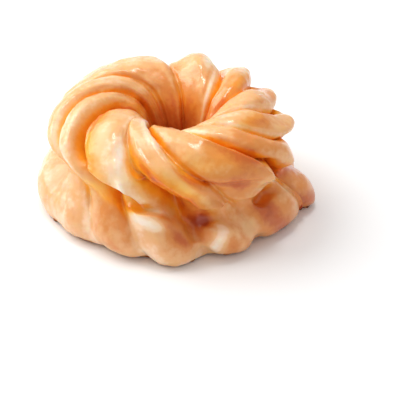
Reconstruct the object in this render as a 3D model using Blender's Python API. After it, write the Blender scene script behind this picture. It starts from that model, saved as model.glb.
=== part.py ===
"""Cruller: a ring of fried choux dough whose piped ridges wind round its body.

Lengths are millimetres and angles are degrees until MM turns a point into metres. Bearings run
anticlockwise from +X, seen from above. The ring rests on the plane z = 0, and the middle of its
plan is the origin.

The surface is worked out from two coordinates. A station runs round the body's section, from
under the ring up through the hole, over the crest, down the outside and back. A ridge number runs
round the ring: its whole numbers are crests, and its halves are grooves.
"""
import math
from collections import namedtuple

import bpy
import numpy as np

NAME = "cruller"
MM = 0.001

# Section of the body: its radius and height, how deep the grooves cut it, how far the ridges have
# turned by there, and how many rows of faces lie between it and the next station.
Station = namedtuple("Station", "radius height groove turn rows")
STATIONS = {
    "under":     Station(24.0, -1.5, 0.6, 0.0, 1),
    "hole_foot": Station(12.0, 1.5, 0.8, 14.0, 1),
    "throat":    Station(7.5, 11.5, 1.0, 26.0, 2),
    "funnel":    Station(8.5, 22.5, 1.6, 37.0, 2),
    "lip":       Station(13.0, 32.0, 3.0, 50.0, 3),
    "crest":     Station(22.0, 36.0, 4.2, 68.0, 3),
    "shoulder":  Station(31.0, 33.6, 5.0, 84.0, 3),
    "brow":      Station(37.0, 26.0, 5.5, 101.0, 5),
    "waist":     Station(34.0, 17.0, 3.5, 112.0, 5),
    "skirt":     Station(40.5, 9.0, 2.5, 119.0, 3),
    "foot":      Station(38.5, 0.0, 1.8, 124.0, 2),
    "rim_under": Station(31.0, -1.5, 0.8, 128.0, 1),
}

# Each ridge: the bearings of the groove before it and of its own crest, as they are on top, at the
# brow and at the foot; how far it stands out on top, at the brow, at the waist and at the skirt; and
# how deep the groove before it is at each, as a share of the section's own depth. The bearings on
# top and at the brow are taken back along the ridge's even winding to the crest's station.
Ridge = namedtuple("Ridge", "groove_top crest_top groove_brow crest_brow groove_foot crest_foot"
                            " top brow waist skirt top_share brow_share skirt_share")
RIDGES = (
    Ridge(256, 268, 252, 278, 313, 334, 0.0, 1.4, 1.5, 0.0, 0.9, 0.6, 0.5),
    Ridge(287, 299, 287, 301, 344, 354, -0.8, 0.0, 1.0, 1.0, 0.5, 1.2, 0.8),
    Ridge(313, 325, 311, 330, 369, 384, 0.0, -2.2, -2.0, -2.5, 0.3, 0.9, 1.0),
    Ridge(340, 355, 344, 359, 399, 415, 0.0, -3.0, -2.0, -2.5, 0.5, 1.2, 1.0),
    Ridge(380, 396, 375, 387, 434, 448, 0.0, -0.8, -1.0, -2.0, 0.8, 1.5, 1.0),
    Ridge(411, 436, 402, 417, 463, 486, 1.0, -0.8, -1.0, -2.0, 1.0, 1.2, 1.0),
    Ridge(463, 482, 437, 470, 512, 540, 1.5, 0.6, 0.0, 2.0, 0.7, 1.5, 1.0),
    Ridge(503, 514, 506, 523, 567, 581, 0.0, 2.2, 0.5, -0.6, 0.5, 0.6, 0.5),
    Ridge(527, 541, 531, 544, 595, 604, -0.3, 1.5, 1.0, -1.2, 0.7, 0.7, 0.35),
    Ridge(560, 586, 552, 572, 618, 630, 1.0, 1.2, 1.6, 0.4, 1.2, 0.9, 0.7),
    Ridge(599, 607, 586, 604, 645, 662, 0.5, 1.2, 0.5, -0.8, 0.15, 0.9, 1.3),
)

# Folds, swellings and hollows that no other size gives. Each runs in a straight line from one ridge
# and station to another, spreads so many ridges and stations to its sides, and lifts the surface.
Fold = namedtuple("Fold", "ridge station to_ridge to_station ridge_spread station_spread lift")
FOLDS = {
    "wide groove before the ninth ridge":  Fold(8.45, 4.4, 8.50, 7.0, 0.20, 0.40, -3.0),
    "hollow under the ninth ridge's edge": Fold(8.50, 7.65, 8.93, 7.65, 0.08, 0.30, -3.8),
    "hollow after the ninth ridge":        Fold(9.47, 7.3, 9.60, 8.5, 0.14, 0.40, -2.5),
    "slope after the ninth ridge's tip":   Fold(9.30, 7.2, 9.38, 8.0, 0.12, 0.30, -3.2),
    "tip of the ninth ridge":              Fold(9.06, 7.0, 9.06, 7.5, 0.08, 0.15, 1.0),
    "top of the front swelling":           Fold(8.82, 8.35, 9.12, 8.40, 0.10, 0.20, 2.6),
    "lip of the tenth ridge":              Fold(9.95, 7.8, 10.20, 7.85, 0.12, 0.22, 3.0),
    "hollow under the tenth ridge":        Fold(9.70, 8.35, 9.9, 8.4, 0.14, 0.20, -2.6),
    "swelling under the tenth ridge":      Fold(9.82, 8.85, 9.95, 8.9, 0.12, 0.22, 1.4),
    "apron under the first ridge":         Fold(10.42, 7.8, 10.78, 7.8, 0.13, 0.32, 2.4),
    "pocket under the first ridge":        Fold(10.84, 8.35, 10.96, 8.25, 0.09, 0.20, -4.0),
    "corner of the first ridge":           Fold(0.05, 7.3, 0.05, 7.3, 0.18, 0.30, 2.0),
    "end of the first ridge":              Fold(0.34, 7.8, 0.40, 9.4, 0.08, 0.30, 1.0),
    "notch before the ninth ridge":        Fold(8.50, 9.8, 8.5, 9.8, 0.15, 0.50, -0.8),
    "notch after the ninth ridge":         Fold(9.50, 9.8, 9.5, 9.8, 0.15, 0.50, -1.2),
    "notch before the first ridge":        Fold(10.50, 9.8, 10.5, 9.8, 0.20, 0.50, -1.4),
    "foot of the right lobe":              Fold(1.00, 9.7, 1.0, 9.7, 0.22, 0.45, 2.6),
    "knob on the first finger":            Fold(0.95, 7.4, 0.95, 7.4, 0.22, 0.35, 2.8),
    "knob on the second ridge":            Fold(1.90, 6.9, 1.9, 7.1, 0.25, 0.35, 1.8),
    "knob on the third ridge":             Fold(3.00, 6.6, 3.0, 6.6, 0.25, 0.35, 1.6),
    "knob on the fourth ridge":            Fold(4.00, 6.6, 4.0, 6.6, 0.22, 0.35, 1.5),
    "peak of the sixth ridge":             Fold(5.00, 4.9, 5.0, 5.8, 0.12, 0.40, 1.0),
    "near side of the sixth ridge":        Fold(4.70, 4.9, 4.7, 6.0, 0.14, 0.50, -0.9),
    "far side of the sixth ridge":         Fold(5.30, 4.9, 5.3, 6.0, 0.14, 0.50, -1.2),
}

CREST_STATION = list(STATIONS).index("crest")
FOOT_TURN = STATIONS["foot"].turn - STATIONS["crest"].turn
RIDGES_IN_SECTION = 4          # ridges that one turn round the section moves a line along by
PITCH = 360.0 / len(RIDGES)
CREST_FATNESS = 0.35           # how far the crests spread at the grooves' cost
CREST_POWER = 2.2              # roundness of a crest across its top
FLANK_POWER = 0.75             # steepness of its flanks
CREASE = 0.06                  # softness of the groove's floor
SKIRT_SOFTNESS = 0.85          # how far the skirt's grooves are rounded off into waves
STEADY_STATIONS = 2.0          # stations over which unevenness fades in, from the underside
MEAN_CREST = 273.0             # bearing on top of the first crest, were all the ridges alike
TOP_BEARING_END = 4.0          # up to this station the bearings on top hold,
BROW_BEARING = 6.8             # here those of the brow,
FOOT_BEARING_START = 9.0       # and from here on those of the foot
TOP_END, TOP_FADE = 4.6, 2.0   # where each zone starts to give way to the next, and over how much
BROW_END, BROW_FADE = 6.9, 1.0
WAIST_END, WAIST_FADE = 8.1, 0.9
FACES_PER_RIDGE = 14

CRUST_COLOUR = (0.78, 0.44, 0.17)
CRUST_ROUGHNESS = 0.4


def clear_scene():
    for item in list(bpy.data.objects):
        bpy.data.objects.remove(item)


def closed_spline(values):
    """Weights of the closed cubic spline that passes through evenly spaced values."""
    unit = np.eye(len(values))
    blend = (4 * unit + np.roll(unit, 1, 0) + np.roll(unit, -1, 0)) / 6
    return np.linalg.solve(blend, np.asarray(values, float))


def along(weights, place):
    """The spline's value at each place, counted in steps from its first value."""
    step = np.floor(place).astype(int)
    part = place - step
    shares = (
        (1 - part) ** 3,
        3 * part**3 - 6 * part**2 + 4,
        -3 * part**3 + 3 * part**2 + 3 * part + 1,
        part**3,
    )
    return sum(s * weights[(step - 1 + k) % len(weights)] for k, s in enumerate(shares)) / 6


def ease(x):
    """0 below 0 and 1 above 1, with a smooth step between."""
    x = np.clip(x, 0, 1)
    return x * x * (3 - 2 * x)


def station_spline(field):
    return closed_spline([getattr(station, field) for station in STATIONS.values()])


def of_ridges(field, ridge):
    """A field of the ridges, smoothly between their crests."""
    return along(closed_spline([getattr(each, field) for each in RIDGES]), ridge)


def section(station):
    """Radius, height and the outward direction of the body's smooth section."""
    radius, height = station_spline("radius"), station_spline("height")
    small = 0.001
    along_r = along(radius, station + small) - along(radius, station - small)
    along_z = along(height, station + small) - along(height, station - small)
    length = np.hypot(along_r, along_z)
    return along(radius, station), along(height, station), -along_z / length, along_r / length


def turn_from_crest(station):
    """How far the ridges have turned since the crest line, in degrees."""
    whole = RIDGES_IN_SECTION * PITCH
    count = len(STATIONS)
    uneven = [each.turn - whole * k / count for k, each in enumerate(STATIONS.values())]
    weights = closed_spline(uneven)
    crest = np.array([float(CREST_STATION)])
    return whole * (station - CREST_STATION) / count + along(weights, station) - along(weights, crest)


def stray(groove_field, crest_field, turn):
    """Spline of how far grooves and crests stand from evenly spaced bearings after a turn."""
    wanted = [getattr(ridge, field) for ridge in RIDGES for field in (groove_field, crest_field)]
    even = [MEAN_CREST + turn + PITCH * (k - 1) / 2 for k in range(len(wanted))]
    return closed_spline(np.array(wanted) - np.array(even))


def unevenness(station):
    """0 on the underside, where all ridges are alike, and 1 from the throat to the foot."""
    return ease(np.minimum(station, len(STATIONS) - station) / STEADY_STATIONS)


def bearing(ridge, station):
    """Bearing of each point, in degrees."""
    spread = ridge + CREST_FATNESS * np.sin(2 * np.pi * ridge) / (2 * np.pi)
    past_top = ease((station - TOP_BEARING_END) / (BROW_BEARING - TOP_BEARING_END))
    past_brow = ease((station - BROW_BEARING) / (FOOT_BEARING_START - BROW_BEARING))
    on_top = along(stray("groove_top", "crest_top", 0.0), 2 * spread + 1)
    at_brow = along(stray("groove_brow", "crest_brow", 0.0), 2 * spread + 1)
    at_foot = along(stray("groove_foot", "crest_foot", FOOT_TURN), 2 * spread + 1)
    below = at_brow * (1 - past_brow) + at_foot * past_brow
    own = on_top * (1 - past_top) + below * past_top
    return MEAN_CREST + PITCH * spread + turn_from_crest(station) + unevenness(station) * own


def zones(station):
    """How much each point belongs to the top, the brow, the waist and the skirt."""
    past_top = ease((station - TOP_END) / TOP_FADE)
    past_brow = ease((station - BROW_END) / BROW_FADE)
    past_waist = ease((station - WAIST_END) / WAIST_FADE)
    return (1 - past_top, past_top * (1 - past_brow), past_brow * (1 - past_waist), past_waist)


def groove_cut(ridge, station):
    """How far each point lies below the crests' level: 0 on a crest, the full depth in a groove."""
    off_crest = np.abs(2 * (ridge - np.round(ridge)))
    dome = (1 - off_crest**CREST_POWER) ** FLANK_POWER
    top = (np.sqrt(dome**2 + CREASE**2) - CREASE) / (math.sqrt(1 + CREASE**2) - CREASE)
    at_top, at_brow, at_waist, at_skirt = zones(station)
    soft = SKIRT_SOFTNESS * at_skirt * unevenness(station)
    top = top * (1 - soft) + soft * (1 + np.cos(2 * np.pi * ridge)) / 2
    share = (of_ridges("top_share", ridge + 0.5) * at_top
             + of_ridges("brow_share", ridge + 0.5) * (at_brow + at_waist)
             + of_ridges("skirt_share", ridge + 0.5) * at_skirt)
    depth = along(station_spline("groove"), station) * (1 + unevenness(station) * (share - 1))
    return depth * (1 - top)


def fold_share(ridge, station, fold):
    """1 along a fold's line, falling to 0 beyond its spreads."""
    half = len(RIDGES) / 2
    across = ((ridge - fold.ridge + half) % len(RIDGES) - half) / fold.ridge_spread
    down = (station - fold.station) / fold.station_spread
    line_across = (fold.to_ridge - fold.ridge) / fold.ridge_spread
    line_down = (fold.to_station - fold.station) / fold.station_spread
    length = max(line_across**2 + line_down**2, 1e-9)
    on_line = np.clip((across * line_across + down * line_down) / length, 0, 1)
    return np.exp(-(across - on_line * line_across) ** 2 - (down - on_line * line_down) ** 2)


def swelling(ridge, station):
    """How far each point stands out from the even section, before its groove is cut."""
    fields = ("top", "brow", "waist", "skirt")
    lift = sum(of_ridges(field, ridge) * zone for field, zone in zip(fields, zones(station)))
    for fold in FOLDS.values():
        lift = lift + fold.lift * fold_share(ridge, station, fold)
    return unevenness(station) * lift


def surface(ridge, station):
    """Points of the crust in millimetres, flat where it rests on the plane z = 0."""
    radius, height, out_r, out_z = section(station)
    off = swelling(ridge, station) - groove_cut(ridge, station)
    radius = radius + out_r * off
    height = np.maximum(height + out_z * off, 0.0)
    angle = np.radians(bearing(ridge, station))
    return np.stack([radius * np.cos(angle), radius * np.sin(angle), height], -1)


def station_rows():
    """The station of each row of points, closer together where the section bends more."""
    rows = []
    for k, station in enumerate(STATIONS.values()):
        rows += [k + part / station.rows for part in range(station.rows)]
    return np.array(rows)


def ring_faces(columns, rows):
    """Four-cornered faces over the whole ring. After a turn round the section, a line of points
    meets the line that started RIDGES_IN_SECTION ridges further on."""
    def point(column, row):
        laps, row = divmod(row, rows)
        column = (column + laps * RIDGES_IN_SECTION * FACES_PER_RIDGE) % columns
        return column * rows + row

    return [
        (point(c, r), point(c, r + 1), point(c + 1, r + 1), point(c + 1, r))
        for c in range(columns)
        for r in range(rows)
    ]


def centred(points):
    """The same points with the middle of their plan at the origin."""
    low, high = points.min(0), points.max(0)
    middle = (low + high) / 2
    return points - np.array([middle[0], middle[1], 0.0])


def cruller_mesh():
    columns = len(RIDGES) * FACES_PER_RIDGE
    rows = station_rows()
    ridge, station = np.meshgrid(np.arange(columns) / FACES_PER_RIDGE, rows, indexing="ij")
    points = centred(surface(ridge, station).reshape(-1, 3)) * MM
    mesh = bpy.data.meshes.new(NAME)
    mesh.from_pydata(points.tolist(), [], ring_faces(columns, len(rows)))
    mesh.update()
    mesh.shade_smooth()
    return mesh


def crust_material():
    material = bpy.data.materials.new("crust")
    material.use_nodes = True
    shader = material.node_tree.nodes["Principled BSDF"]
    shader.inputs["Base Color"].default_value = (*CRUST_COLOUR, 1.0)
    shader.inputs["Roughness"].default_value = CRUST_ROUGHNESS
    shader.inputs["Metallic"].default_value = 0.0
    return material


def build():
    clear_scene()
    mesh = cruller_mesh()
    mesh.materials.append(crust_material())
    cruller = bpy.data.objects.new(NAME, mesh)
    bpy.context.collection.objects.link(cruller)


build()
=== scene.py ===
"""Looks of the cruller: its fried crust, its sugar glaze, a pale floor, soft light and a camera.

Lengths are millimetres and angles are degrees until MM turns a point into metres. The ring's shape
is worked out as the CAD part is, from a station that runs round the body's section and a ridge
number that runs round the ring, then carries the fine relief that the CAD part leaves out.
"""
import math
from collections import namedtuple

import bpy
import numpy as np
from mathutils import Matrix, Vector, noise
from mathutils.bvhtree import BVHTree


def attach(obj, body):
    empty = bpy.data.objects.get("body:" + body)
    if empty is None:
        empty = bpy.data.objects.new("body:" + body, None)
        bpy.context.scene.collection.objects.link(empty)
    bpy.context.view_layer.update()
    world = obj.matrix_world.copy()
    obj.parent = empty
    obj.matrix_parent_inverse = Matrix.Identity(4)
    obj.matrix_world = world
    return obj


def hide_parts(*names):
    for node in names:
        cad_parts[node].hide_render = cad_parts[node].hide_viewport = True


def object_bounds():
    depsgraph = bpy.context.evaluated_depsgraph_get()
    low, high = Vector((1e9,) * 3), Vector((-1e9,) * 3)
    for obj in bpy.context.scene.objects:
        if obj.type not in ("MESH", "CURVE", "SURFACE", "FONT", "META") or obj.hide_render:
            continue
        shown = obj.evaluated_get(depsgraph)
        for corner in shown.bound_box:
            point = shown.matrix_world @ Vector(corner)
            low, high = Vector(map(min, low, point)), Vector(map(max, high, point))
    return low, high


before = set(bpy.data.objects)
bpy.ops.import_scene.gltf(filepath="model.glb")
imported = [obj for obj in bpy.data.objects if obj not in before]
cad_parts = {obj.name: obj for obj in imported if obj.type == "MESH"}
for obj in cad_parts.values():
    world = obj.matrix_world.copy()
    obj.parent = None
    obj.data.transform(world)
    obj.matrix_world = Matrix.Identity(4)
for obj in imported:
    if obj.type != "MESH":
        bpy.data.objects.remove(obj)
CAD_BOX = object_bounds()

NODE = "cruller"
MM = 0.001

# ---- the ring's shape, as in the CAD part -------------------------------------------------------

# Section of the body: its radius and height, how deep the grooves cut it, how far the ridges have
# turned by there, and how many rows of faces lie between it and the next station.
Station = namedtuple("Station", "radius height groove turn rows")
STATIONS = {
    "under":     Station(24.0, -1.5, 0.6, 0.0, 6),
    "hole_foot": Station(12.0, 1.5, 0.8, 14.0, 7),
    "throat":    Station(7.5, 11.5, 1.0, 26.0, 9),
    "funnel":    Station(8.5, 22.5, 1.6, 37.0, 12),
    "lip":       Station(13.0, 32.0, 3.0, 50.0, 17),
    "crest":     Station(22.0, 36.0, 4.2, 68.0, 20),
    "shoulder":  Station(31.0, 33.6, 5.0, 84.0, 22),
    "brow":      Station(37.0, 26.0, 5.5, 101.0, 24),
    "waist":     Station(34.0, 17.0, 3.5, 112.0, 24),
    "skirt":     Station(40.5, 9.0, 2.5, 119.0, 22),
    "foot":      Station(38.5, 0.0, 1.8, 124.0, 10),
    "rim_under": Station(31.0, -1.5, 0.8, 128.0, 6),
}

# Each ridge: the bearings of the groove before it and of its own crest, as they are on top, at the
# brow and at the foot; how far it stands out on top, at the brow, at the waist and at the skirt;
# and how deep the groove before it is at each, as a share of the section's own depth.
Ridge = namedtuple("Ridge", "groove_top crest_top groove_brow crest_brow groove_foot crest_foot"
                            " top brow waist skirt top_share brow_share skirt_share")
RIDGES = (
    Ridge(256, 268, 252, 278, 313, 334, 0.0, 1.4, 1.5, 0.0, 0.9, 0.6, 0.5),
    Ridge(287, 299, 287, 301, 344, 354, -0.8, 0.0, 1.0, 1.0, 0.5, 1.2, 0.8),
    Ridge(313, 325, 311, 330, 369, 384, 0.0, -2.2, -2.0, -2.5, 0.3, 0.9, 1.0),
    Ridge(340, 355, 344, 359, 399, 415, 0.0, -3.0, -2.0, -2.5, 0.5, 1.2, 1.0),
    Ridge(380, 396, 375, 387, 434, 448, 0.0, -0.8, -1.0, -2.0, 0.8, 1.5, 1.0),
    Ridge(411, 436, 402, 417, 463, 486, 1.0, -0.8, -1.0, -2.0, 1.0, 1.2, 1.0),
    Ridge(463, 482, 437, 470, 512, 540, 1.5, 0.6, 0.0, 2.0, 0.7, 1.5, 1.0),
    Ridge(503, 514, 506, 523, 567, 581, 0.0, 2.2, 0.5, -0.6, 0.5, 0.6, 0.5),
    Ridge(527, 541, 531, 544, 595, 604, -0.3, 1.5, 1.0, -1.2, 0.7, 0.7, 0.35),
    Ridge(560, 586, 552, 572, 618, 630, 1.0, 1.2, 1.6, 0.4, 1.2, 0.9, 0.7),
    Ridge(599, 607, 586, 604, 645, 662, 0.5, 1.2, 0.5, -0.8, 0.15, 0.9, 1.3),
)

# A fold runs in a straight line from one ridge and station to another, spreads so many ridges and
# stations to its sides, and lifts the surface. Marks of tone and amber are laid out the same way.
Fold = namedtuple("Fold", "ridge station to_ridge to_station ridge_spread station_spread lift")
FOLDS = {
    "wide groove before the ninth ridge":  Fold(8.45, 4.4, 8.50, 7.0, 0.20, 0.40, -3.0),
    "left lip of the ninth ridge":         Fold(8.68, 5.4, 8.72, 7.0, 0.045, 0.25, 0.9),
    "second lip of the ninth ridge":       Fold(8.82, 5.7, 8.79, 6.6, 0.035, 0.25, 0.5),
    "lower edge of the ninth ridge":       Fold(8.72, 6.9, 9.02, 7.15, 0.05, 0.10, 1.0),
    "tip of the ninth ridge":              Fold(9.06, 7.0, 9.06, 7.55, 0.05, 0.12, 1.4),
    "hollow under the ninth ridge's edge": Fold(8.50, 7.65, 8.93, 7.65, 0.07, 0.30, -3.8),
    "hollow after the ninth ridge":        Fold(9.47, 7.3, 9.60, 8.5, 0.14, 0.40, -2.5),
    "slope after the ninth ridge's tip":   Fold(9.30, 7.2, 9.38, 8.0, 0.12, 0.30, -3.2),
    "top of the front swelling":           Fold(8.82, 8.35, 9.12, 8.40, 0.10, 0.20, 2.6),
    "left edge of the tenth ridge":        Fold(9.74, 6.0, 9.86, 7.6, 0.05, 0.30, 0.8),
    "lip of the tenth ridge":              Fold(9.95, 7.8, 10.20, 7.85, 0.12, 0.22, 3.0),
    "hollow under the tenth ridge":        Fold(9.70, 8.35, 9.9, 8.4, 0.14, 0.20, -2.6),
    "swelling under the tenth ridge":      Fold(9.82, 8.85, 9.95, 8.9, 0.12, 0.22, 1.4),
    "crease of the first ridge":           Fold(10.50, 7.05, 10.92, 7.22, 0.05, 0.09, -1.0),
    "apron under the first ridge":         Fold(10.42, 7.8, 10.78, 7.8, 0.13, 0.32, 2.4),
    "pocket under the first ridge":        Fold(10.84, 8.35, 10.96, 8.25, 0.07, 0.18, -4.0),
    "corner of the first ridge":           Fold(0.05, 7.3, 0.05, 7.3, 0.18, 0.30, 2.0),
    "upper edge of the first ridge":       Fold(0.08, 5.8, 0.12, 7.2, 0.06, 0.30, 0.8),
    "end of the first ridge":              Fold(0.36, 7.8, 0.42, 9.4, 0.05, 0.30, 1.2),
    "notch before the ninth ridge":        Fold(8.50, 9.8, 8.5, 9.8, 0.15, 0.50, -0.8),
    "notch after the ninth ridge":         Fold(9.50, 9.8, 9.5, 9.8, 0.15, 0.50, -1.2),
    "notch before the first ridge":        Fold(10.50, 9.8, 10.5, 9.8, 0.20, 0.50, -1.4),
    "foot of the right lobe":              Fold(1.00, 9.7, 1.0, 9.7, 0.22, 0.45, 2.6),
    "knob on the first finger":            Fold(0.95, 7.4, 0.95, 7.4, 0.22, 0.35, 2.8),
    "knob on the second ridge":            Fold(1.90, 6.9, 1.9, 7.1, 0.25, 0.35, 1.8),
    "knob on the third ridge":             Fold(3.00, 6.6, 3.0, 6.6, 0.25, 0.35, 1.6),
    "knob on the fourth ridge":            Fold(4.00, 6.6, 4.0, 6.6, 0.22, 0.35, 1.5),
    "peak of the sixth ridge":             Fold(5.00, 4.9, 5.0, 5.8, 0.12, 0.40, 1.0),
    "near side of the sixth ridge":        Fold(4.70, 4.9, 4.7, 6.0, 0.14, 0.50, -0.9),
    "far side of the sixth ridge":         Fold(5.30, 4.9, 5.3, 6.0, 0.14, 0.50, -1.2),
}

CREST_STATION = list(STATIONS).index("crest")
FOOT_TURN = STATIONS["foot"].turn - STATIONS["crest"].turn
RIDGES_IN_SECTION = 4          # ridges that one turn round the section moves a line along by
PITCH = 360.0 / len(RIDGES)
CREST_FATNESS = 0.35           # how far the crests spread at the grooves' cost
CREST_POWER = 2.2              # roundness of a crest across its top
FLANK_POWER = 0.75             # steepness of its flanks
CREASE = 0.10                  # wider than the CAD part's: the glaze fills the groove's floor
SKIRT_SOFTNESS = 0.85          # how far the skirt's grooves are rounded off into waves
STEADY_STATIONS = 2.0          # stations over which unevenness fades in, from the underside
MEAN_CREST = 273.0             # bearing on top of the first crest, were all the ridges alike
TOP_BEARING_END = 4.0          # up to this station the bearings on top hold,
BROW_BEARING = 6.8             # here those of the brow,
FOOT_BEARING_START = 9.0       # and from here on those of the foot
TOP_END, TOP_FADE = 4.6, 2.0   # where each zone starts to give way to the next, and over how much
BROW_END, BROW_FADE = 6.9, 1.0
WAIST_END, WAIST_FADE = 8.1, 0.9

# ---- fine relief --------------------------------------------------------------------------------

GLAZE_PER_RIDGE = 48           # columns of faces to a ridge
CRUST_PER_RIDGE = 24
CRUST_ROW_STEP = 2             # the crust takes every second row of the glaze
DEPTH_IN_CAD = 0.25            # how far inside the CAD part's surface the glaze lies on average
LUMPS = ((9.0, 0.45), (4.0, 0.20), (1.8, 0.07))    # size of the noise, and how far it lifts
STREAKS = ((5.0, 0.10), (11.0, 0.06))              # streaks to a ridge, and how far they lift
STREAK_LENGTH = 2.5            # in stations
LEDGE_SIZE, LEDGE_RISE = 5.5, 0.14                 # patches where the glaze has set in two coats
LEDGE_EDGE = 0.16              # how wide a patch's edge is, in the noise's own levels
WAVER_SIZE, WAVER = 7.0, 0.05  # how the ridges waver, in ridges
LEDGE_SHIFT, HEM_SHIFT, WAVER_SHIFT = 31.0, 7.0, 13.0    # so that no two read the same noise
HEM_HEIGHT, HEM_WAVER = 0.7, 1.4                   # where the glaze ends above the floor
HEM_SIZE, HEM_WIDTH = 6.0, 1.2
SINK = 0.5                     # how far the glaze past its hem is sunk
CRUST_BELOW = 0.10             # how far the bare crust lies below the glaze's level
CORE_DEPTH = 10.5              # and how far inside the covered crust lies


def linear(r, g, b):
    """Linear colour of an sRGB one given in 0 to 255."""
    def one(x):
        x /= 255
        return x / 12.92 if x <= 0.04045 else ((x + 0.055) / 1.055) ** 2.4
    return (one(r), one(g), one(b), 1.0)


# ---- colour of the glaze ------------------------------------------------------------------------

# The tone runs from 0 on pale crests to 1 in dark hollows, and carries painted shade. Each tone has
# a second colour, which it turns to where the glaze has pooled and is amber, and where hollows get
# a painted glow of light bounced in them.
TONES = (
    (0.0, linear(255, 235, 216)),
    (0.2, linear(250, 213, 177)),
    (0.4, linear(235, 178, 122)),
    (0.6, linear(222, 141, 70)),
    (0.8, linear(202, 102, 40)),
    (1.0, linear(166, 58, 20)),
)
AMBER_TONES = (
    (0.0, linear(255, 234, 196)),
    (0.2, linear(254, 216, 142)),
    (0.4, linear(250, 188, 80)),
    (0.6, linear(248, 160, 30)),
    (0.8, linear(232, 120, 12)),
    (1.0, linear(192, 74, 8)),
)
AMBER_LEAST = 0.10             # how amber an open crest is
AMBER_FROM, AMBER_FULL = 0.10, 0.52      # shares of the sky hidden where the glaze turns amber: pooled glaze, and a painted glow of light bounced in the hollows
# Patches of amber: pooled glaze, and a painted glow of light bounced in recesses, under edges and
# in the hole.
AMBER_POOLS_AND_GLOW = {
    "under the edge of the ninth ridge":  Fold(8.20, 7.80, 8.75, 8.10, 0.16, 0.30, 1.2),
    "wide groove before the ninth ridge": Fold(8.42, 4.3, 8.62, 7.2, 0.25, 0.60, 1.0),
    "left face of the ninth ridge":       Fold(8.70, 4.6, 8.78, 6.2, 0.10, 0.40, 0.9),
    "recess after the ninth ridge":       Fold(9.32, 7.3, 9.85, 7.2, 0.15, 0.55, 1.0),
    "left side of the tenth ridge":       Fold(9.58, 6.1, 9.72, 6.7, 0.07, 0.30, 0.9),
    "side of the first ridge":            Fold(0.08, 6.3, 0.50, 6.5, 0.20, 0.40, 0.5),
    "side of the fourth ridge":           Fold(3.70, 4.2, 3.80, 5.6, 0.12, 0.50, 0.6),
    "sides of the second and third":      Fold(1.70, 5.5, 2.60, 5.7, 0.18, 0.25, 0.45),
    "under the first finger":             Fold(0.75, 7.8, 1.05, 7.8, 0.15, 0.30, 1.0),
    "lower side of the tenth ridge":      Fold(10.10, 6.9, 10.65, 6.4, 0.20, 0.35, 0.45),
    "walls of the hole":                  Fold(5.00, 3.5, 8.20, 3.7, 0.30, 0.30, 0.45),
    "left skirt":                         Fold(7.10, 7.4, 8.10, 7.8, 0.25, 0.40, 0.35),
}
TONE_OF_CREST = 0.34           # tone of an open crest
TONE_OF_HOLLOW = 0.50          # painted shade, added where all the sky is hidden
TONE_OF_BROWN_AND_SHADE = 0.20           # added where fried browning and painted shade are deepest
TONE_STREAKS = ((2.0, 0.10), (5.0, 0.10))          # streaks to a ridge, and their depth
SHADE_TONE_IN_HOLE, HOLE_TOP, HOLE_FADE = 0.22, 4.4, 1.2  # painted shade in the hole, added below a station, which it fades in from

RAYS = 64                      # directions in which each point looks for the sky
REACH = 10.0                   # how far off the pastry still shades itself
RAY_START = 0.05               # how far off the surface a ray starts
LEAST_FACING = 0.05            # a ray flatter to the surface than this, as a sine, isn't cast

# Painted shade in the hole; and on the side turned from the key light, more so low down, fried
# browning together with painted shade.
PAINTED_SHADE_IN_HOLE = 1.3
SHADE_HOLE_RADIUS, SHADE_HOLE_WIDTH = 20.0, 10.0
SHADE_HOLE_TOP, SHADE_HOLE_DEPTH = 32.0, 16.0
BROWN_AND_SHADE_BEARING = -45.0
BROWN_AND_SHADE_HIGH, BROWN_AND_SHADE_LOW = 0.25, 0.75
BROWN_AND_SHADE_TOP, BROWN_AND_SHADE_DEPTH = 34.0, 24.0
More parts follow.
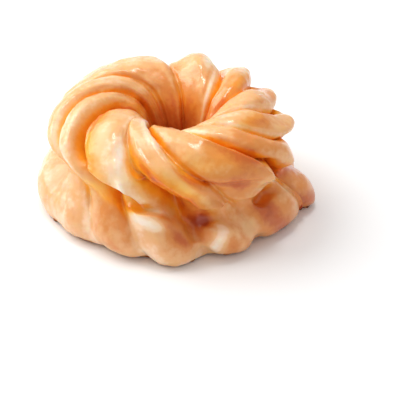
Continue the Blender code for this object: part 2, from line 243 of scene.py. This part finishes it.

# Where the glaze is deeper in colour, or paler, than the form alone makes it: stains of the glaze,
# and painted shade and painted highlights where marked. The lift is in tone.
STAINS_AND_PAINTED_LIGHT = {
    "wide groove before the ninth ridge": Fold(8.50, 3.6, 8.62, 6.8, 0.20, 0.50, 0.30),
    "left face of the ninth ridge":       Fold(8.74, 4.6, 8.80, 5.8, 0.10, 0.35, 0.30),
    "back of the ninth ridge":            Fold(8.95, 4.6, 9.10, 5.4, 0.12, 0.30, 0.08),
    "crest of the ninth ridge":           Fold(9.08, 6.9, 9.36, 6.0, 0.13, 0.30, -0.34),
    "pale tip of the ninth ridge":        Fold(9.02, 7.1, 9.10, 7.5, 0.06, 0.15, -0.25),
    "cap between ninth and tenth ridges": Fold(9.20, 4.5, 9.80, 4.7, 0.20, 0.35, 0.06),
    "left side of the tenth ridge, high": Fold(9.60, 6.0, 9.72, 6.6, 0.06, 0.30, 0.26),
    "top of the tenth ridge":             Fold(10.15, 3.9, 10.35, 5.2, 0.18, 0.40, -0.28),
    "crest of the tenth ridge, pale":     Fold(10.10, 5.5, 10.25, 6.1, 0.16, 0.40, -0.20),
    "far side of the tenth ridge":        Fold(10.86, 4.2, 10.95, 4.8, 0.10, 0.25, 0.14),
    "crest of the first ridge":           Fold(0.20, 4.3, 0.62, 4.8, 0.22, 0.45, -0.18),
    # painted shade low on the first finger
    "low on the first finger":            Fold(0.75, 6.3, 1.20, 6.5, 0.20, 0.50, 0.18),
    "near side of the second ridge":      Fold(1.60, 5.2, 1.62, 6.7, 0.10, 0.45, -0.28),
    "near side of the third ridge":       Fold(2.65, 5.0, 2.68, 6.2, 0.12, 0.40, -0.15),
    "top of the sixth ridge":             Fold(5.10, 4.5, 6.20, 4.6, 0.30, 0.30, 0.09),
    "top of the eighth ridge":            Fold(7.78, 4.9, 7.85, 6.0, 0.12, 0.40, 0.15),
    "left side of the tenth ridge":       Fold(9.72, 6.8, 9.85, 7.7, 0.12, 0.40, 0.34),
    "recess after the ninth ridge":       Fold(9.33, 7.1, 9.40, 7.7, 0.10, 0.30, 0.22),
    # painted highlight: a glint on the front swelling's top
    "top of the front swelling":          Fold(8.72, 8.40, 9.00, 8.58, 0.13, 0.16, -0.36),
    "brown band on the front swelling":   Fold(9.14, 8.5, 9.30, 9.0, 0.10, 0.22, 0.24),
    "foot of the front swelling":         Fold(9.35, 9.9, 9.60, 9.7, 0.22, 0.45, -0.28),
    # painted highlight: a glint on the skirt under the tenth ridge
    "pale streak under the tenth ridge":  Fold(9.70, 9.4, 9.92, 8.7, 0.06, 0.20, -0.40),
    "pale rim under the tenth ridge":     Fold(9.80, 8.60, 9.88, 8.55, 0.06, 0.10, -0.24),
    "brown streak under the tenth ridge": Fold(9.88, 9.6, 9.94, 9.1, 0.07, 0.25, 0.16),
    "crest of the eighth ridge":          Fold(7.70, 6.6, 7.75, 6.1, 0.12, 0.30, -0.25),
    "crest of the seventh ridge":         Fold(7.35, 6.4, 7.40, 7.1, 0.15, 0.30, -0.20),
    "left skirt, pale":                   Fold(7.45, 7.9, 7.45, 9.6, 0.15, 0.40, -0.12),
    "left skirt, amber":                  Fold(8.05, 8.0, 8.05, 9.3, 0.20, 0.40, 0.14),
    # painted shade on the first ridge's lower flank
    "side of the first ridge":            Fold(0.08, 6.4, 0.30, 6.5, 0.18, 0.45, 0.38),
    "red spot before the first ridge":    Fold(10.95, 4.3, 11.10, 4.3, 0.10, 0.18, 0.22),
    # The four below are painted shade on the lower flanks of the fingers, turned from the light.
    "side of the first finger":           Fold(0.75, 5.9, 1.25, 5.8, 0.20, 0.40, 0.16),
    "side of the second ridge":           Fold(1.85, 5.7, 2.25, 5.7, 0.20, 0.40, 0.28),
    "side of the third ridge":            Fold(3.00, 6.1, 3.25, 6.3, 0.20, 0.45, 0.22),
    "side of the fourth ridge":           Fold(3.72, 4.2, 3.80, 5.9, 0.12, 0.50, 0.28),
    # The two below are painted highlights: glints along the fifth ridge's seam.
    "highlight painted on the fifth ridge's seam":       Fold(4.66, 3.2, 4.74, 4.5, 0.06, 0.40, -0.35),
    "pale glint of the fifth ridge":      Fold(4.84, 4.9, 4.86, 5.2, 0.08, 0.25, -0.25),
    # The two below are painted shade on the right lobe, turned from the key light.
    "right lobe":                         Fold(0.60, 7.9, 1.50, 8.4, 0.30, 0.50, 0.32),
    "foot of the right lobe":             Fold(0.70, 9.4, 1.50, 9.3, 0.25, 0.35, 0.24),
    "apron under the first ridge":        Fold(10.20, 7.9, 10.45, 9.2, 0.25, 0.40, -0.10),
    "foot before the front swelling":     Fold(8.50, 9.6, 8.85, 9.6, 0.18, 0.40, -0.24),
    "behind the front swelling's top":    Fold(8.62, 8.10, 8.72, 8.15, 0.08, 0.12, 0.22),
    "left skirt, before the swelling":    Fold(8.30, 8.2, 8.35, 9.4, 0.10, 0.30, 0.12),
    "inner top of the seventh ridge":     Fold(6.90, 4.4, 8.20, 4.3, 0.40, 0.35, 0.12),
    # The two below are painted shade on the walls of the hole.
    "left wall of the hole":              Fold(7.00, 3.7, 8.20, 3.8, 0.30, 0.25, 0.20),
    "far wall of the hole":               Fold(5.10, 3.9, 5.90, 4.0, 0.30, 0.60, 0.15),
    "near rim of the hole":               Fold(9.45, 4.5, 10.45, 4.2, 0.22, 0.60, -0.20),
    "amber seam of the fifth ridge":      Fold(4.79, 4.1, 4.79, 4.9, 0.06, 0.25, 0.34),
    "top of the fourth ridge":            Fold(3.90, 4.4, 4.05, 4.6, 0.20, 0.50, 0.10),
    # painted shade in the hollow under the ninth ridge's edge
    "under the edge of the ninth ridge":  Fold(8.25, 7.85, 8.70, 8.15, 0.14, 0.20, 0.14),
    "under the tip of the ninth ridge":   Fold(9.15, 8.10, 9.65, 8.15, 0.12, 0.14, -0.26),
    # The two below are painted shade: the hollow under the tenth ridge, and the first ridge's lower
    # flank.
    "red under the tenth ridge":          Fold(9.60, 8.1, 9.80, 8.40, 0.11, 0.20, 0.38),
    "lower side of the first ridge":      Fold(10.20, 6.7, 10.80, 7.1, 0.16, 0.45, 0.30),
    # painted highlight on the first ridge's lit end
    "end of the first ridge":             Fold(0.02, 7.5, 0.45, 8.1, 0.14, 0.30, -0.34),
    # The two below are painted shade at the foot, on the side turned from the key light.
    "foot of the first ridge":            Fold(10.78, 8.7, 10.85, 9.6, 0.13, 0.35, 0.32),
    "foot before the right lobe":         Fold(0.45, 8.8, 0.55, 9.6, 0.15, 0.40, 0.12),
}

# ---- materials ----------------------------------------------------------------------------------

NOISE_DETAIL = 3.0
NOISE_LEAST, NOISE_MOST = 0.3, 0.7                 # levels that nearly all the noise lies between
GLAZE_MOTTLE = ((6.0, -0.07, 0.07), (1.6, -0.04, 0.04))    # size of the noise, and its range
CRUST_MOTTLE = ((7.0, 0.1, 0.7), (1.2, -0.15, 0.3))
CRUST_TONES = (
    (0.0, linear(206, 140, 76)),
    (0.5, linear(176, 100, 46)),
    (1.0, linear(122, 62, 26)),
)
GLAZE_FINISH = {
    "Roughness": 0.35,
    "Subsurface Weight": 0.4,
    "Subsurface Radius": (1.0, 0.4, 0.12),
    "Subsurface Scale": 1.5 * MM,
    "Specular IOR Level": 0.3,
    "Coat Weight": 0.5,
    "Coat Roughness": 0.10,
}
CRUST_FINISH = {"Roughness": 0.5}
FLOOR_FINISH = {"Base Color": (0.93, 0.93, 0.93, 1.0), "Roughness": 0.9}

# ---- floor, light and camera, in metres ---------------------------------------------------------

FLOOR_SIZE = 3.0
WORLD_COLOUR = (1.0, 1.0, 1.0, 1.0)
WORLD_STRENGTH = 0.62
Softbox = namedtuple("Softbox", "place width power")
SOFTBOXES = {
    "key":      Softbox((-0.40, 0.17, 0.44), 0.60, 3.2),
    "overhead": Softbox((0.0, 0.04, 0.55), 0.14, 0.7),
}
SOFTBOX_AIM = (0, 0, 0.02)
CAMERA_ELEVATION = 33.0        # degrees above the floor
CAMERA_DISTANCE = 0.42
CAMERA_LENS, CAMERA_SENSOR = 122.7, 36.0           # millimetres
CAMERA_AIM = (0.0077, 0.0, 0.016)                  # from the middle of the hole's foot
CAMERA_RISE = -0.0152          # how far up the picture the aim is then moved


# ---- working out the shape ----------------------------------------------------------------------

def closed_spline(values):
    """Weights of the closed cubic spline that passes through evenly spaced values."""
    unit = np.eye(len(values))
    blend = (4 * unit + np.roll(unit, 1, 0) + np.roll(unit, -1, 0)) / 6
    return np.linalg.solve(blend, np.asarray(values, float))


def along(weights, place):
    """The spline's value at each place, counted in steps from its first value."""
    step = np.floor(place).astype(int)
    part = place - step
    shares = (
        (1 - part) ** 3,
        3 * part**3 - 6 * part**2 + 4,
        -3 * part**3 + 3 * part**2 + 3 * part + 1,
        part**3,
    )
    return sum(s * weights[(step - 1 + k) % len(weights)] for k, s in enumerate(shares)) / 6


def ease(x):
    """0 below 0 and 1 above 1, with a smooth step between."""
    x = np.clip(x, 0, 1)
    return x * x * (3 - 2 * x)


def station_spline(field):
    """Spline of one field of the stations."""
    return closed_spline([getattr(station, field) for station in STATIONS.values()])


def of_ridges(field, ridge):
    """A field of the ridges, smoothly between their crests."""
    return along(closed_spline([getattr(each, field) for each in RIDGES]), ridge)


def section(station):
    """Radius, height and the outward direction of the body's smooth section."""
    radius, height = station_spline("radius"), station_spline("height")
    small = 0.001
    along_r = along(radius, station + small) - along(radius, station - small)
    along_z = along(height, station + small) - along(height, station - small)
    length = np.hypot(along_r, along_z)
    return along(radius, station), along(height, station), -along_z / length, along_r / length


def turn_from_crest(station):
    """How far the ridges have turned since the crest line, in degrees."""
    whole = RIDGES_IN_SECTION * PITCH
    count = len(STATIONS)
    uneven = [each.turn - whole * k / count for k, each in enumerate(STATIONS.values())]
    weights = closed_spline(uneven)
    at_crest = along(weights, np.array([float(CREST_STATION)]))
    return whole * (station - CREST_STATION) / count + along(weights, station) - at_crest


def stray(groove_field, crest_field, turn):
    """Spline of how far grooves and crests stand from evenly spaced bearings after a turn."""
    wanted = [getattr(ridge, field) for ridge in RIDGES for field in (groove_field, crest_field)]
    even = [MEAN_CREST + turn + PITCH * (k - 1) / 2 for k in range(len(wanted))]
    return closed_spline(np.array(wanted) - np.array(even))


def unevenness(station):
    """0 on the underside, where all ridges are alike, and 1 from the throat to the foot."""
    return ease(np.minimum(station, len(STATIONS) - station) / STEADY_STATIONS)


def bearing(ridge, station):
    """Bearing of each point, in degrees."""
    spread = ridge + CREST_FATNESS * np.sin(2 * np.pi * ridge) / (2 * np.pi)
    past_top = ease((station - TOP_BEARING_END) / (BROW_BEARING - TOP_BEARING_END))
    past_brow = ease((station - BROW_BEARING) / (FOOT_BEARING_START - BROW_BEARING))
    on_top = along(stray("groove_top", "crest_top", 0.0), 2 * spread + 1)
    at_brow = along(stray("groove_brow", "crest_brow", 0.0), 2 * spread + 1)
    at_foot = along(stray("groove_foot", "crest_foot", FOOT_TURN), 2 * spread + 1)
    below = at_brow * (1 - past_brow) + at_foot * past_brow
    own = on_top * (1 - past_top) + below * past_top
    return MEAN_CREST + PITCH * spread + turn_from_crest(station) + unevenness(station) * own


def zones(station):
    """How much each point belongs to the top, the brow, the waist and the skirt."""
    past_top = ease((station - TOP_END) / TOP_FADE)
    past_brow = ease((station - BROW_END) / BROW_FADE)
    past_waist = ease((station - WAIST_END) / WAIST_FADE)
    return (1 - past_top, past_top * (1 - past_brow), past_brow * (1 - past_waist), past_waist)


def below_crest(ridge, station):
    """0 on a crest and 1 on a groove's floor."""
    off_crest = np.abs(2 * (ridge - np.round(ridge)))
    dome = (1 - off_crest**CREST_POWER) ** FLANK_POWER
    top = (np.sqrt(dome**2 + CREASE**2) - CREASE) / (math.sqrt(1 + CREASE**2) - CREASE)
    soft = SKIRT_SOFTNESS * zones(station)[3] * unevenness(station)
    return 1 - top * (1 - soft) - soft * (1 + np.cos(2 * np.pi * ridge)) / 2


def groove_cut(ridge, station):
    """How far each point lies below the crests' level: 0 on a crest, all the depth in a groove."""
    at_top, at_brow, at_waist, at_skirt = zones(station)
    share = (of_ridges("top_share", ridge + 0.5) * at_top
             + of_ridges("brow_share", ridge + 0.5) * (at_brow + at_waist)
             + of_ridges("skirt_share", ridge + 0.5) * at_skirt)
    depth = along(station_spline("groove"), station) * (1 + unevenness(station) * (share - 1))
    return depth * below_crest(ridge, station)


def fold_share(ridge, station, fold):
    """1 along a fold's line, falling to 0 beyond its spreads."""
    half = len(RIDGES) / 2
    across = ((ridge - fold.ridge + half) % len(RIDGES) - half) / fold.ridge_spread
    down = (station - fold.station) / fold.station_spread
    line_across = (fold.to_ridge - fold.ridge) / fold.ridge_spread
    line_down = (fold.to_station - fold.station) / fold.station_spread
    length = max(line_across**2 + line_down**2, 1e-9)
    on_line = np.clip((across * line_across + down * line_down) / length, 0, 1)
    return np.exp(-(across - on_line * line_across) ** 2 - (down - on_line * line_down) ** 2)


def swelling(ridge, station):
    """How far each point stands out from the even section, before its groove is cut."""
    fields = ("top", "brow", "waist", "skirt")
    lift = sum(of_ridges(field, ridge) * zone for field, zone in zip(fields, zones(station)))
    for fold in FOLDS.values():
        lift = lift + fold.lift * fold_share(ridge, station, fold)
    return unevenness(station) * lift


def surface(ridge, station, core=0.0):
    """Points of the pastry, or where core is 1 of a plain ring inside it."""
    radius, height, out_r, out_z = section(station)
    off = (swelling(ridge, station) - groove_cut(ridge, station)) * (1 - core) - CORE_DEPTH * core
    radius = radius + out_r * off
    height = np.maximum(height + out_z * off, 0.0)
    angle = np.radians(bearing(ridge, station))
    return np.stack([radius * np.cos(angle), radius * np.sin(angle), height], -1)


def station_rows(step):
    """The station of each row of points, or of every second row if the step is 2."""
    rows = []
    for k, station in enumerate(STATIONS.values()):
        rows += [k + part / station.rows for part in range(station.rows)]
    return np.array(rows[::step])


def ring_faces(columns, rows, per_ridge):
    """Four-cornered faces over the whole ring. After a turn round the section, a line of points
    meets the line that started RIDGES_IN_SECTION ridges further on."""
    def point(column, row):
        laps, row = divmod(row, rows)
        column = (column + laps * RIDGES_IN_SECTION * per_ridge) % columns
        return column * rows + row

    return [
        (point(c, r), point(c, r + 1), point(c + 1, r + 1), point(c + 1, r))
        for c in range(columns)
        for r in range(rows)
    ]


# ---- working out the relief ---------------------------------------------------------------------

def noise_at(points, size, shift=0.0):
    """Smooth noise at each point, its lumps as large as the size."""
    flat = (points.reshape(-1, 3) / size + shift).tolist()
    return np.array([noise.noise(Vector(p)) for p in flat]).reshape(points.shape[:-1])


def streak_noise(ridge, station, count):
    """Noise drawn out along the ridges, with so many streaks to a ridge."""
    reach = len(RIDGES) * count / (2 * math.pi)
    angle = 2 * math.pi * ridge / len(RIDGES)
    place = np.stack([reach * np.cos(angle), reach * np.sin(angle), station / STREAK_LENGTH], -1)
    return noise_at(place, 1.0) * unevenness(station)


def relief(points, ridge, station):
    """How far the glaze's lumps, streaks and ledges lift each point."""
    total = -DEPTH_IN_CAD
    for size, lift in LUMPS:
        total = total + lift * noise_at(points, size)
    for count, lift in STREAKS:
        total = total + lift * streak_noise(ridge, station, count)
    ledge = ease(noise_at(points, LEDGE_SIZE, LEDGE_SHIFT) / LEDGE_EDGE + 0.5)
    return total + LEDGE_RISE * (ledge - 0.5)


def covered(points):
    """1 where glaze covers the crust and 0 near the floor, past its uneven hem."""
    hem = HEM_HEIGHT + HEM_WAVER * noise_at(points * (1, 1, 0), HEM_SIZE, HEM_SHIFT)
    return ease((points[..., 2] - hem) / HEM_WIDTH + 0.5)


def waver(points, station):
    """How far each point's ridge strays to the side, in ridges."""
    return WAVER * noise_at(points, WAVER_SIZE, WAVER_SHIFT) * unevenness(station)


def glaze_points():
    """Points of the glaze, with the ridge and station of each. Past its hem it dips inside."""
    ridge, station = ring_grid(GLAZE_PER_RIDGE, 1)
    even = surface(ridge, station)
    ridge = ridge + waver(even, station)
    points = surface(ridge, station)
    lift = relief(even, ridge, station) - SINK * (1 - covered(points))
    return points + outward(points) * lift[..., None], ridge, station


def crust_points():
    """Points of the crust: bare below the glaze's hem, and a plain ring inside above it."""
    ridge, station = ring_grid(CRUST_PER_RIDGE, CRUST_ROW_STEP)
    even = surface(ridge, station)
    ridge = ridge + waver(even, station)
    points = surface(ridge, station, covered(surface(ridge, station)))
    lift = relief(even, ridge, station) - CRUST_BELOW
    return points + outward(points) * lift[..., None]


def outward(points):
    """Unit vectors out of a grid of points."""
    across = np.roll(points, -1, 0) - np.roll(points, 1, 0)
    down = np.empty_like(points)
    down[:, 1:-1] = points[:, 2:] - points[:, :-2]
    down[:, 0] = points[:, 1] - points[:, 0]
    down[:, -1] = points[:, -1] - points[:, -2]
    out = np.cross(down, across)
    return out / np.maximum(np.linalg.norm(out, axis=-1, keepdims=True), 1e-9)


def ring_grid(per_ridge, row_step):
    """The ridge and station of each point of a grid over the whole ring."""
    columns = len(RIDGES) * per_ridge
    rows = station_rows(row_step)
    return np.meshgrid(np.arange(columns) / per_ridge, rows, indexing="ij")


# ---- making the pieces --------------------------------------------------------------------------

def make_piece(name, points, per_ridge, fields):
    """An object of a grid of points, with each field as a number at every point."""
    columns, rows = points.shape[:2]
    mesh = bpy.data.meshes.new(name)
    faces = ring_faces(columns, rows, per_ridge)
    mesh.from_pydata((points.reshape(-1, 3) * MM).tolist(), [], faces)
    mesh.update()
    mesh.shade_smooth()
    for field, values in fields.items():
        attribute = mesh.attributes.new(field, "FLOAT", "POINT")
        attribute.data.foreach_set("value", values.reshape(-1).astype(np.float32))
    piece = bpy.data.objects.new(name, mesh)
    bpy.context.scene.collection.objects.link(piece)
    return piece


Placing = namedtuple("Placing", "middle scale target")


def placing_in_cad(points):
    """The move and scale that centre the points' box on the CAD part's and keep it inside."""
    cad_low, cad_high = (np.array(corner) / MM for corner in CAD_BOX)
    low, high = points.reshape(-1, 3).min(0), points.reshape(-1, 3).max(0)
    scale = np.minimum((cad_high - cad_low) / (high - low), 1.0)
    middle = np.array([(low[0] + high[0]) / 2, (low[1] + high[1]) / 2, 0.0])
    target = np.array([(cad_low[0] + cad_high[0]) / 2, (cad_low[1] + cad_high[1]) / 2, 0.0])
    return Placing(middle, scale, target)


def place_points(points, placing):
    """The points after the placing, with none below the floor."""
    placed = (points - placing.middle) * placing.scale + placing.target
    placed[..., 2] = np.maximum(placed[..., 2], 0.0)
    return placed


# ---- making the materials -----------------------------------------------------------------------

def shader_of(name):
    """A new material, with its node tree and its shader."""
    material = bpy.data.materials.new(name)
    material.use_nodes = True
    return material, material.node_tree, material.node_tree.nodes["Principled BSDF"]


def set_finish(shader, finish):
    """Set on the shader's own sockets what is the same all over."""
    for socket, value in finish.items():
        shader.inputs[socket].default_value = value


def ramp(tree, source, stops):
    """Colour that a level has among the stops."""
    node = tree.nodes.new("ShaderNodeValToRGB")
    node.color_ramp.interpolation = "EASE"
    elements = node.color_ramp.elements
    while len(elements) > 1:
        elements.remove(elements[-1])
    elements[0].position, elements[0].color = stops[0]
    for place, colour in stops[1:]:
        elements.new(place).color = colour
    tree.links.new(source, node.inputs["Fac"])
    return node.outputs["Color"]


def field_of(tree, name):
    """A number that the mesh carries at every point."""
    node = tree.nodes.new("ShaderNodeAttribute")
    node.attribute_name = name
    return node.outputs["Fac"]


def noise_of(tree, size, low, high):
    """Noise between two levels, its lumps as large as the size in millimetres."""
    place = tree.nodes.new("ShaderNodeTexCoord")
    node = tree.nodes.new("ShaderNodeTexNoise")
    node.inputs["Scale"].default_value = 1.0 / (size * MM)
    node.inputs["Detail"].default_value = NOISE_DETAIL
    tree.links.new(place.outputs["Object"], node.inputs["Vector"])
    spread = tree.nodes.new("ShaderNodeMapRange")
    spread.inputs["From Min"].default_value = NOISE_LEAST
    spread.inputs["From Max"].default_value = NOISE_MOST
    spread.inputs["To Min"].default_value = low
    spread.inputs["To Max"].default_value = high
    tree.links.new(node.outputs["Fac"], spread.inputs["Value"])
    return spread.outputs["Result"]


def sum_of(tree, first, second, clamp=False):
    """The sum of two levels, kept within 0 to 1 if clamped."""
    node = tree.nodes.new("ShaderNodeMath")
    node.operation = "ADD"
    node.use_clamp = clamp
    tree.links.new(first, node.inputs[0])
    tree.links.new(second, node.inputs[1])
    return node.outputs[0]


def mottle_of(tree, noises, clamp=False):
    """The sum of two noises, one coarse and one fine."""
    coarse, fine = [noise_of(tree, *each) for each in noises]
    return sum_of(tree, coarse, fine, clamp)


def glaze_material():
    """Sugar glaze over fried pastry: its tone and amber from the mesh, which carry painted shade,
    glow and highlights, mottled, under a gloss.
    """
    material, tree, shader = shader_of("glaze")
    mottle = mottle_of(tree, GLAZE_MOTTLE)
    tone = sum_of(tree, field_of(tree, "tone"), mottle, clamp=True)
    colour = tree.nodes.new("ShaderNodeMix")
    colour.data_type = "RGBA"
    tree.links.new(field_of(tree, "amber"), colour.inputs["Factor"])
    tree.links.new(ramp(tree, tone, TONES), colour.inputs["A"])
    tree.links.new(ramp(tree, tone, AMBER_TONES), colour.inputs["B"])
    tree.links.new(colour.outputs["Result"], shader.inputs["Base Color"])
    set_finish(shader, GLAZE_FINISH)
    return material


def crust_material():
    """Bare fried crust, mottled from golden to dark brown."""
    material, tree, shader = shader_of("crust")
    colour = ramp(tree, mottle_of(tree, CRUST_MOTTLE, clamp=True), CRUST_TONES)
    tree.links.new(colour, shader.inputs["Base Color"])
    set_finish(shader, CRUST_FINISH)
    return material


# ---- working out the colour, with its painted shade and glow ------------------------------------

def even_directions(count):
    """Unit vectors spread evenly over a ball."""
    k = np.arange(count) + 0.5
    height = 1 - 2 * k / count
    angle = math.pi * (1 + math.sqrt(5)) * k
    flat = np.sqrt(1 - height**2)
    return np.stack([flat * np.cos(angle), flat * np.sin(angle), height], -1)


def shaded_share(points, normals, faces):
    """How much of the sky over each point the pastry nearby hides, 0 to 1."""
    tree = BVHTree.FromPolygons(points.tolist(), faces)
    directions = even_directions(RAYS)
    facing = normals @ directions.T
    start = points + RAY_START * normals
    shaded = np.zeros(len(points))
    for k, direction in enumerate(directions):
        ray = Vector(direction)
        for v in np.nonzero(facing[:, k] > LEAST_FACING)[0].tolist():
            distance = tree.ray_cast(start[v], ray, REACH)[3]
            if distance is not None:
                shaded[v] += facing[v, k] * (1 - distance / REACH)
    return shaded / np.maximum(np.maximum(facing, 0).sum(1), 1e-9)


def shaded_field(points, per_ridge):
    """Shaded share of a grid of points, worked out on every other one each way."""
    coarse = points[::2, ::2]
    columns, rows = coarse.shape[:2]
    faces = ring_faces(columns, rows, per_ridge // 2)
    share = shaded_share(coarse.reshape(-1, 3), outward(coarse).reshape(-1, 3), faces)
    share = share.reshape(columns, rows)
    share = (np.roll(share, 1, 0) + 2 * share + np.roll(share, -1, 0)) / 4
    full = np.empty(points.shape[:2])
    full[::2] = share.repeat(2, axis=1)[:, :points.shape[1]]
    full[:, 1:-1:2] = (full[:, :-2:2] + full[:, 2::2]) / 2
    full[1::2] = (full[::2] + np.roll(full[::2], -1, 0)) / 2
    return full


def brown_and_shade_field(points):
    """How dark the pastry's colour is made at each point, 0 to 1: painted shade in the hole, and on
    the side turned from the key light, more so low down, fried browning together with painted
    shade.
    """
    radius = np.hypot(points[..., 0], points[..., 1])
    height = points[..., 2]
    angle = np.degrees(np.arctan2(points[..., 1], points[..., 0]))
    in_hole = ease((SHADE_HOLE_RADIUS - radius) / SHADE_HOLE_WIDTH)
    in_hole = in_hole * ease((SHADE_HOLE_TOP - height) / SHADE_HOLE_DEPTH)
    facing = 0.5 + 0.5 * np.cos(np.radians(angle - BROWN_AND_SHADE_BEARING))
    low = ease((BROWN_AND_SHADE_TOP - height) / BROWN_AND_SHADE_DEPTH)
    return np.clip(PAINTED_SHADE_IN_HOLE * in_hole + facing**2 * (BROWN_AND_SHADE_HIGH + BROWN_AND_SHADE_LOW * low), 0, 1)


def tone_field(points, shaded, ridge, station):
    """How deep the glaze's colour is made, from 0 on pale crests to 1 in dark hollows. It carries
    painted shade where the sky is hidden, in the hole and on the side turned from the key light,
    and the listed stains, painted shade and painted highlights.
    """
    tone = TONE_OF_CREST + TONE_OF_HOLLOW * shaded
    tone = tone + TONE_OF_BROWN_AND_SHADE * brown_and_shade_field(points)
    tone = tone + SHADE_TONE_IN_HOLE * ease((HOLE_TOP - station) / HOLE_FADE)
    for tone_mark in STAINS_AND_PAINTED_LIGHT.values():
        tone = tone + tone_mark.lift * fold_share(ridge, station, tone_mark)
    for count, depth in TONE_STREAKS:
        tone = tone + depth * streak_noise(ridge, station, count)
    return np.clip(tone, 0, 1)


def amber_field(shaded, ridge, station):
    """How amber the glaze is, from 0 on crests and the skirt to 1 where it has pooled, and where
    the hidden sky gives hollows a painted glow of light bounced in them.
    """
    amber = AMBER_LEAST + ease((shaded - AMBER_FROM) / (AMBER_FULL - AMBER_FROM))
    for amber_patch in AMBER_POOLS_AND_GLOW.values():
        amber = amber + amber_patch.lift * fold_share(ridge, station, amber_patch)
    return np.clip(amber * (1 - zones(station)[3]), 0, 1)


def make_glaze():
    """The glaze with its colour fields, and the placing that puts it in the CAD part's box."""
    points, ridge, station = glaze_points()
    placing = placing_in_cad(points)
    points = place_points(points, placing)
    shaded = shaded_field(points, GLAZE_PER_RIDGE)
    fields = {
        "tone": tone_field(points, shaded, ridge, station),
        "amber": amber_field(shaded, ridge, station),
    }
    return make_piece("glaze", points, GLAZE_PER_RIDGE, fields), placing


def make_crust(placing):
    """The crust, placed as the glaze is."""
    return make_piece("crust", place_points(crust_points(), placing), CRUST_PER_RIDGE, {})


def dress(piece, material):
    """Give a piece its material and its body."""
    piece.data.materials.append(material)
    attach(piece, "root")


# ---- floor, light, camera and build -------------------------------------------------------------

def make_floor():
    """A plain pale floor under the ring."""
    bpy.ops.mesh.primitive_plane_add(size=FLOOR_SIZE)
    floor = bpy.context.object
    floor.name = "floor"
    material, _, shader = shader_of("floor")
    set_finish(shader, FLOOR_FINISH)
    floor.data.materials.append(material)


def make_softbox(name, softbox):
    """A round white lamp, turned towards the ring."""
    lamp = bpy.data.lights.new(name, "AREA")
    lamp.shape = "DISK"
    lamp.size = softbox.width
    lamp.energy = softbox.power
    light = bpy.data.objects.new(name, lamp)
    light.location = softbox.place
    towards = Vector(SOFTBOX_AIM) - Vector(softbox.place)
    light.rotation_euler = towards.to_track_quat("-Z", "Y").to_euler()
    bpy.context.scene.collection.objects.link(light)


def make_light():
    """A white world and the softboxes."""
    world = bpy.data.worlds.new("studio")
    bpy.context.scene.world = world
    world.use_nodes = True
    background = world.node_tree.nodes["Background"]
    background.inputs["Color"].default_value = WORLD_COLOUR
    background.inputs["Strength"].default_value = WORLD_STRENGTH
    for name, softbox in SOFTBOXES.items():
        make_softbox(name, softbox)
    bpy.context.scene.view_settings.view_transform = "Standard"


def make_camera(hole):
    """A camera in front of the ring, placed by where the middle of the hole is, in millimetres."""
    camera = bpy.data.cameras.new("camera")
    camera.lens = CAMERA_LENS
    camera.sensor_width = CAMERA_SENSOR
    tilt = math.radians(CAMERA_ELEVATION)
    back = Vector((0.0, -math.cos(tilt), math.sin(tilt)))
    up = Vector((0.0, math.sin(tilt), math.cos(tilt)))
    aim = Vector(CAMERA_AIM) + Vector((hole[0], hole[1], 0.0)) * MM + up * CAMERA_RISE
    stand = bpy.data.objects.new("camera", camera)
    stand.location = aim + back * CAMERA_DISTANCE
    stand.rotation_euler = (-back).to_track_quat("-Z", "Y").to_euler()
    bpy.context.scene.collection.objects.link(stand)
    bpy.context.scene.camera = stand


glaze, placing = make_glaze()
crust = make_crust(placing)
dress(glaze, glaze_material())
dress(crust, crust_material())
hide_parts(NODE)
make_floor()
make_light()
make_camera(placing.target - placing.middle * placing.scale)
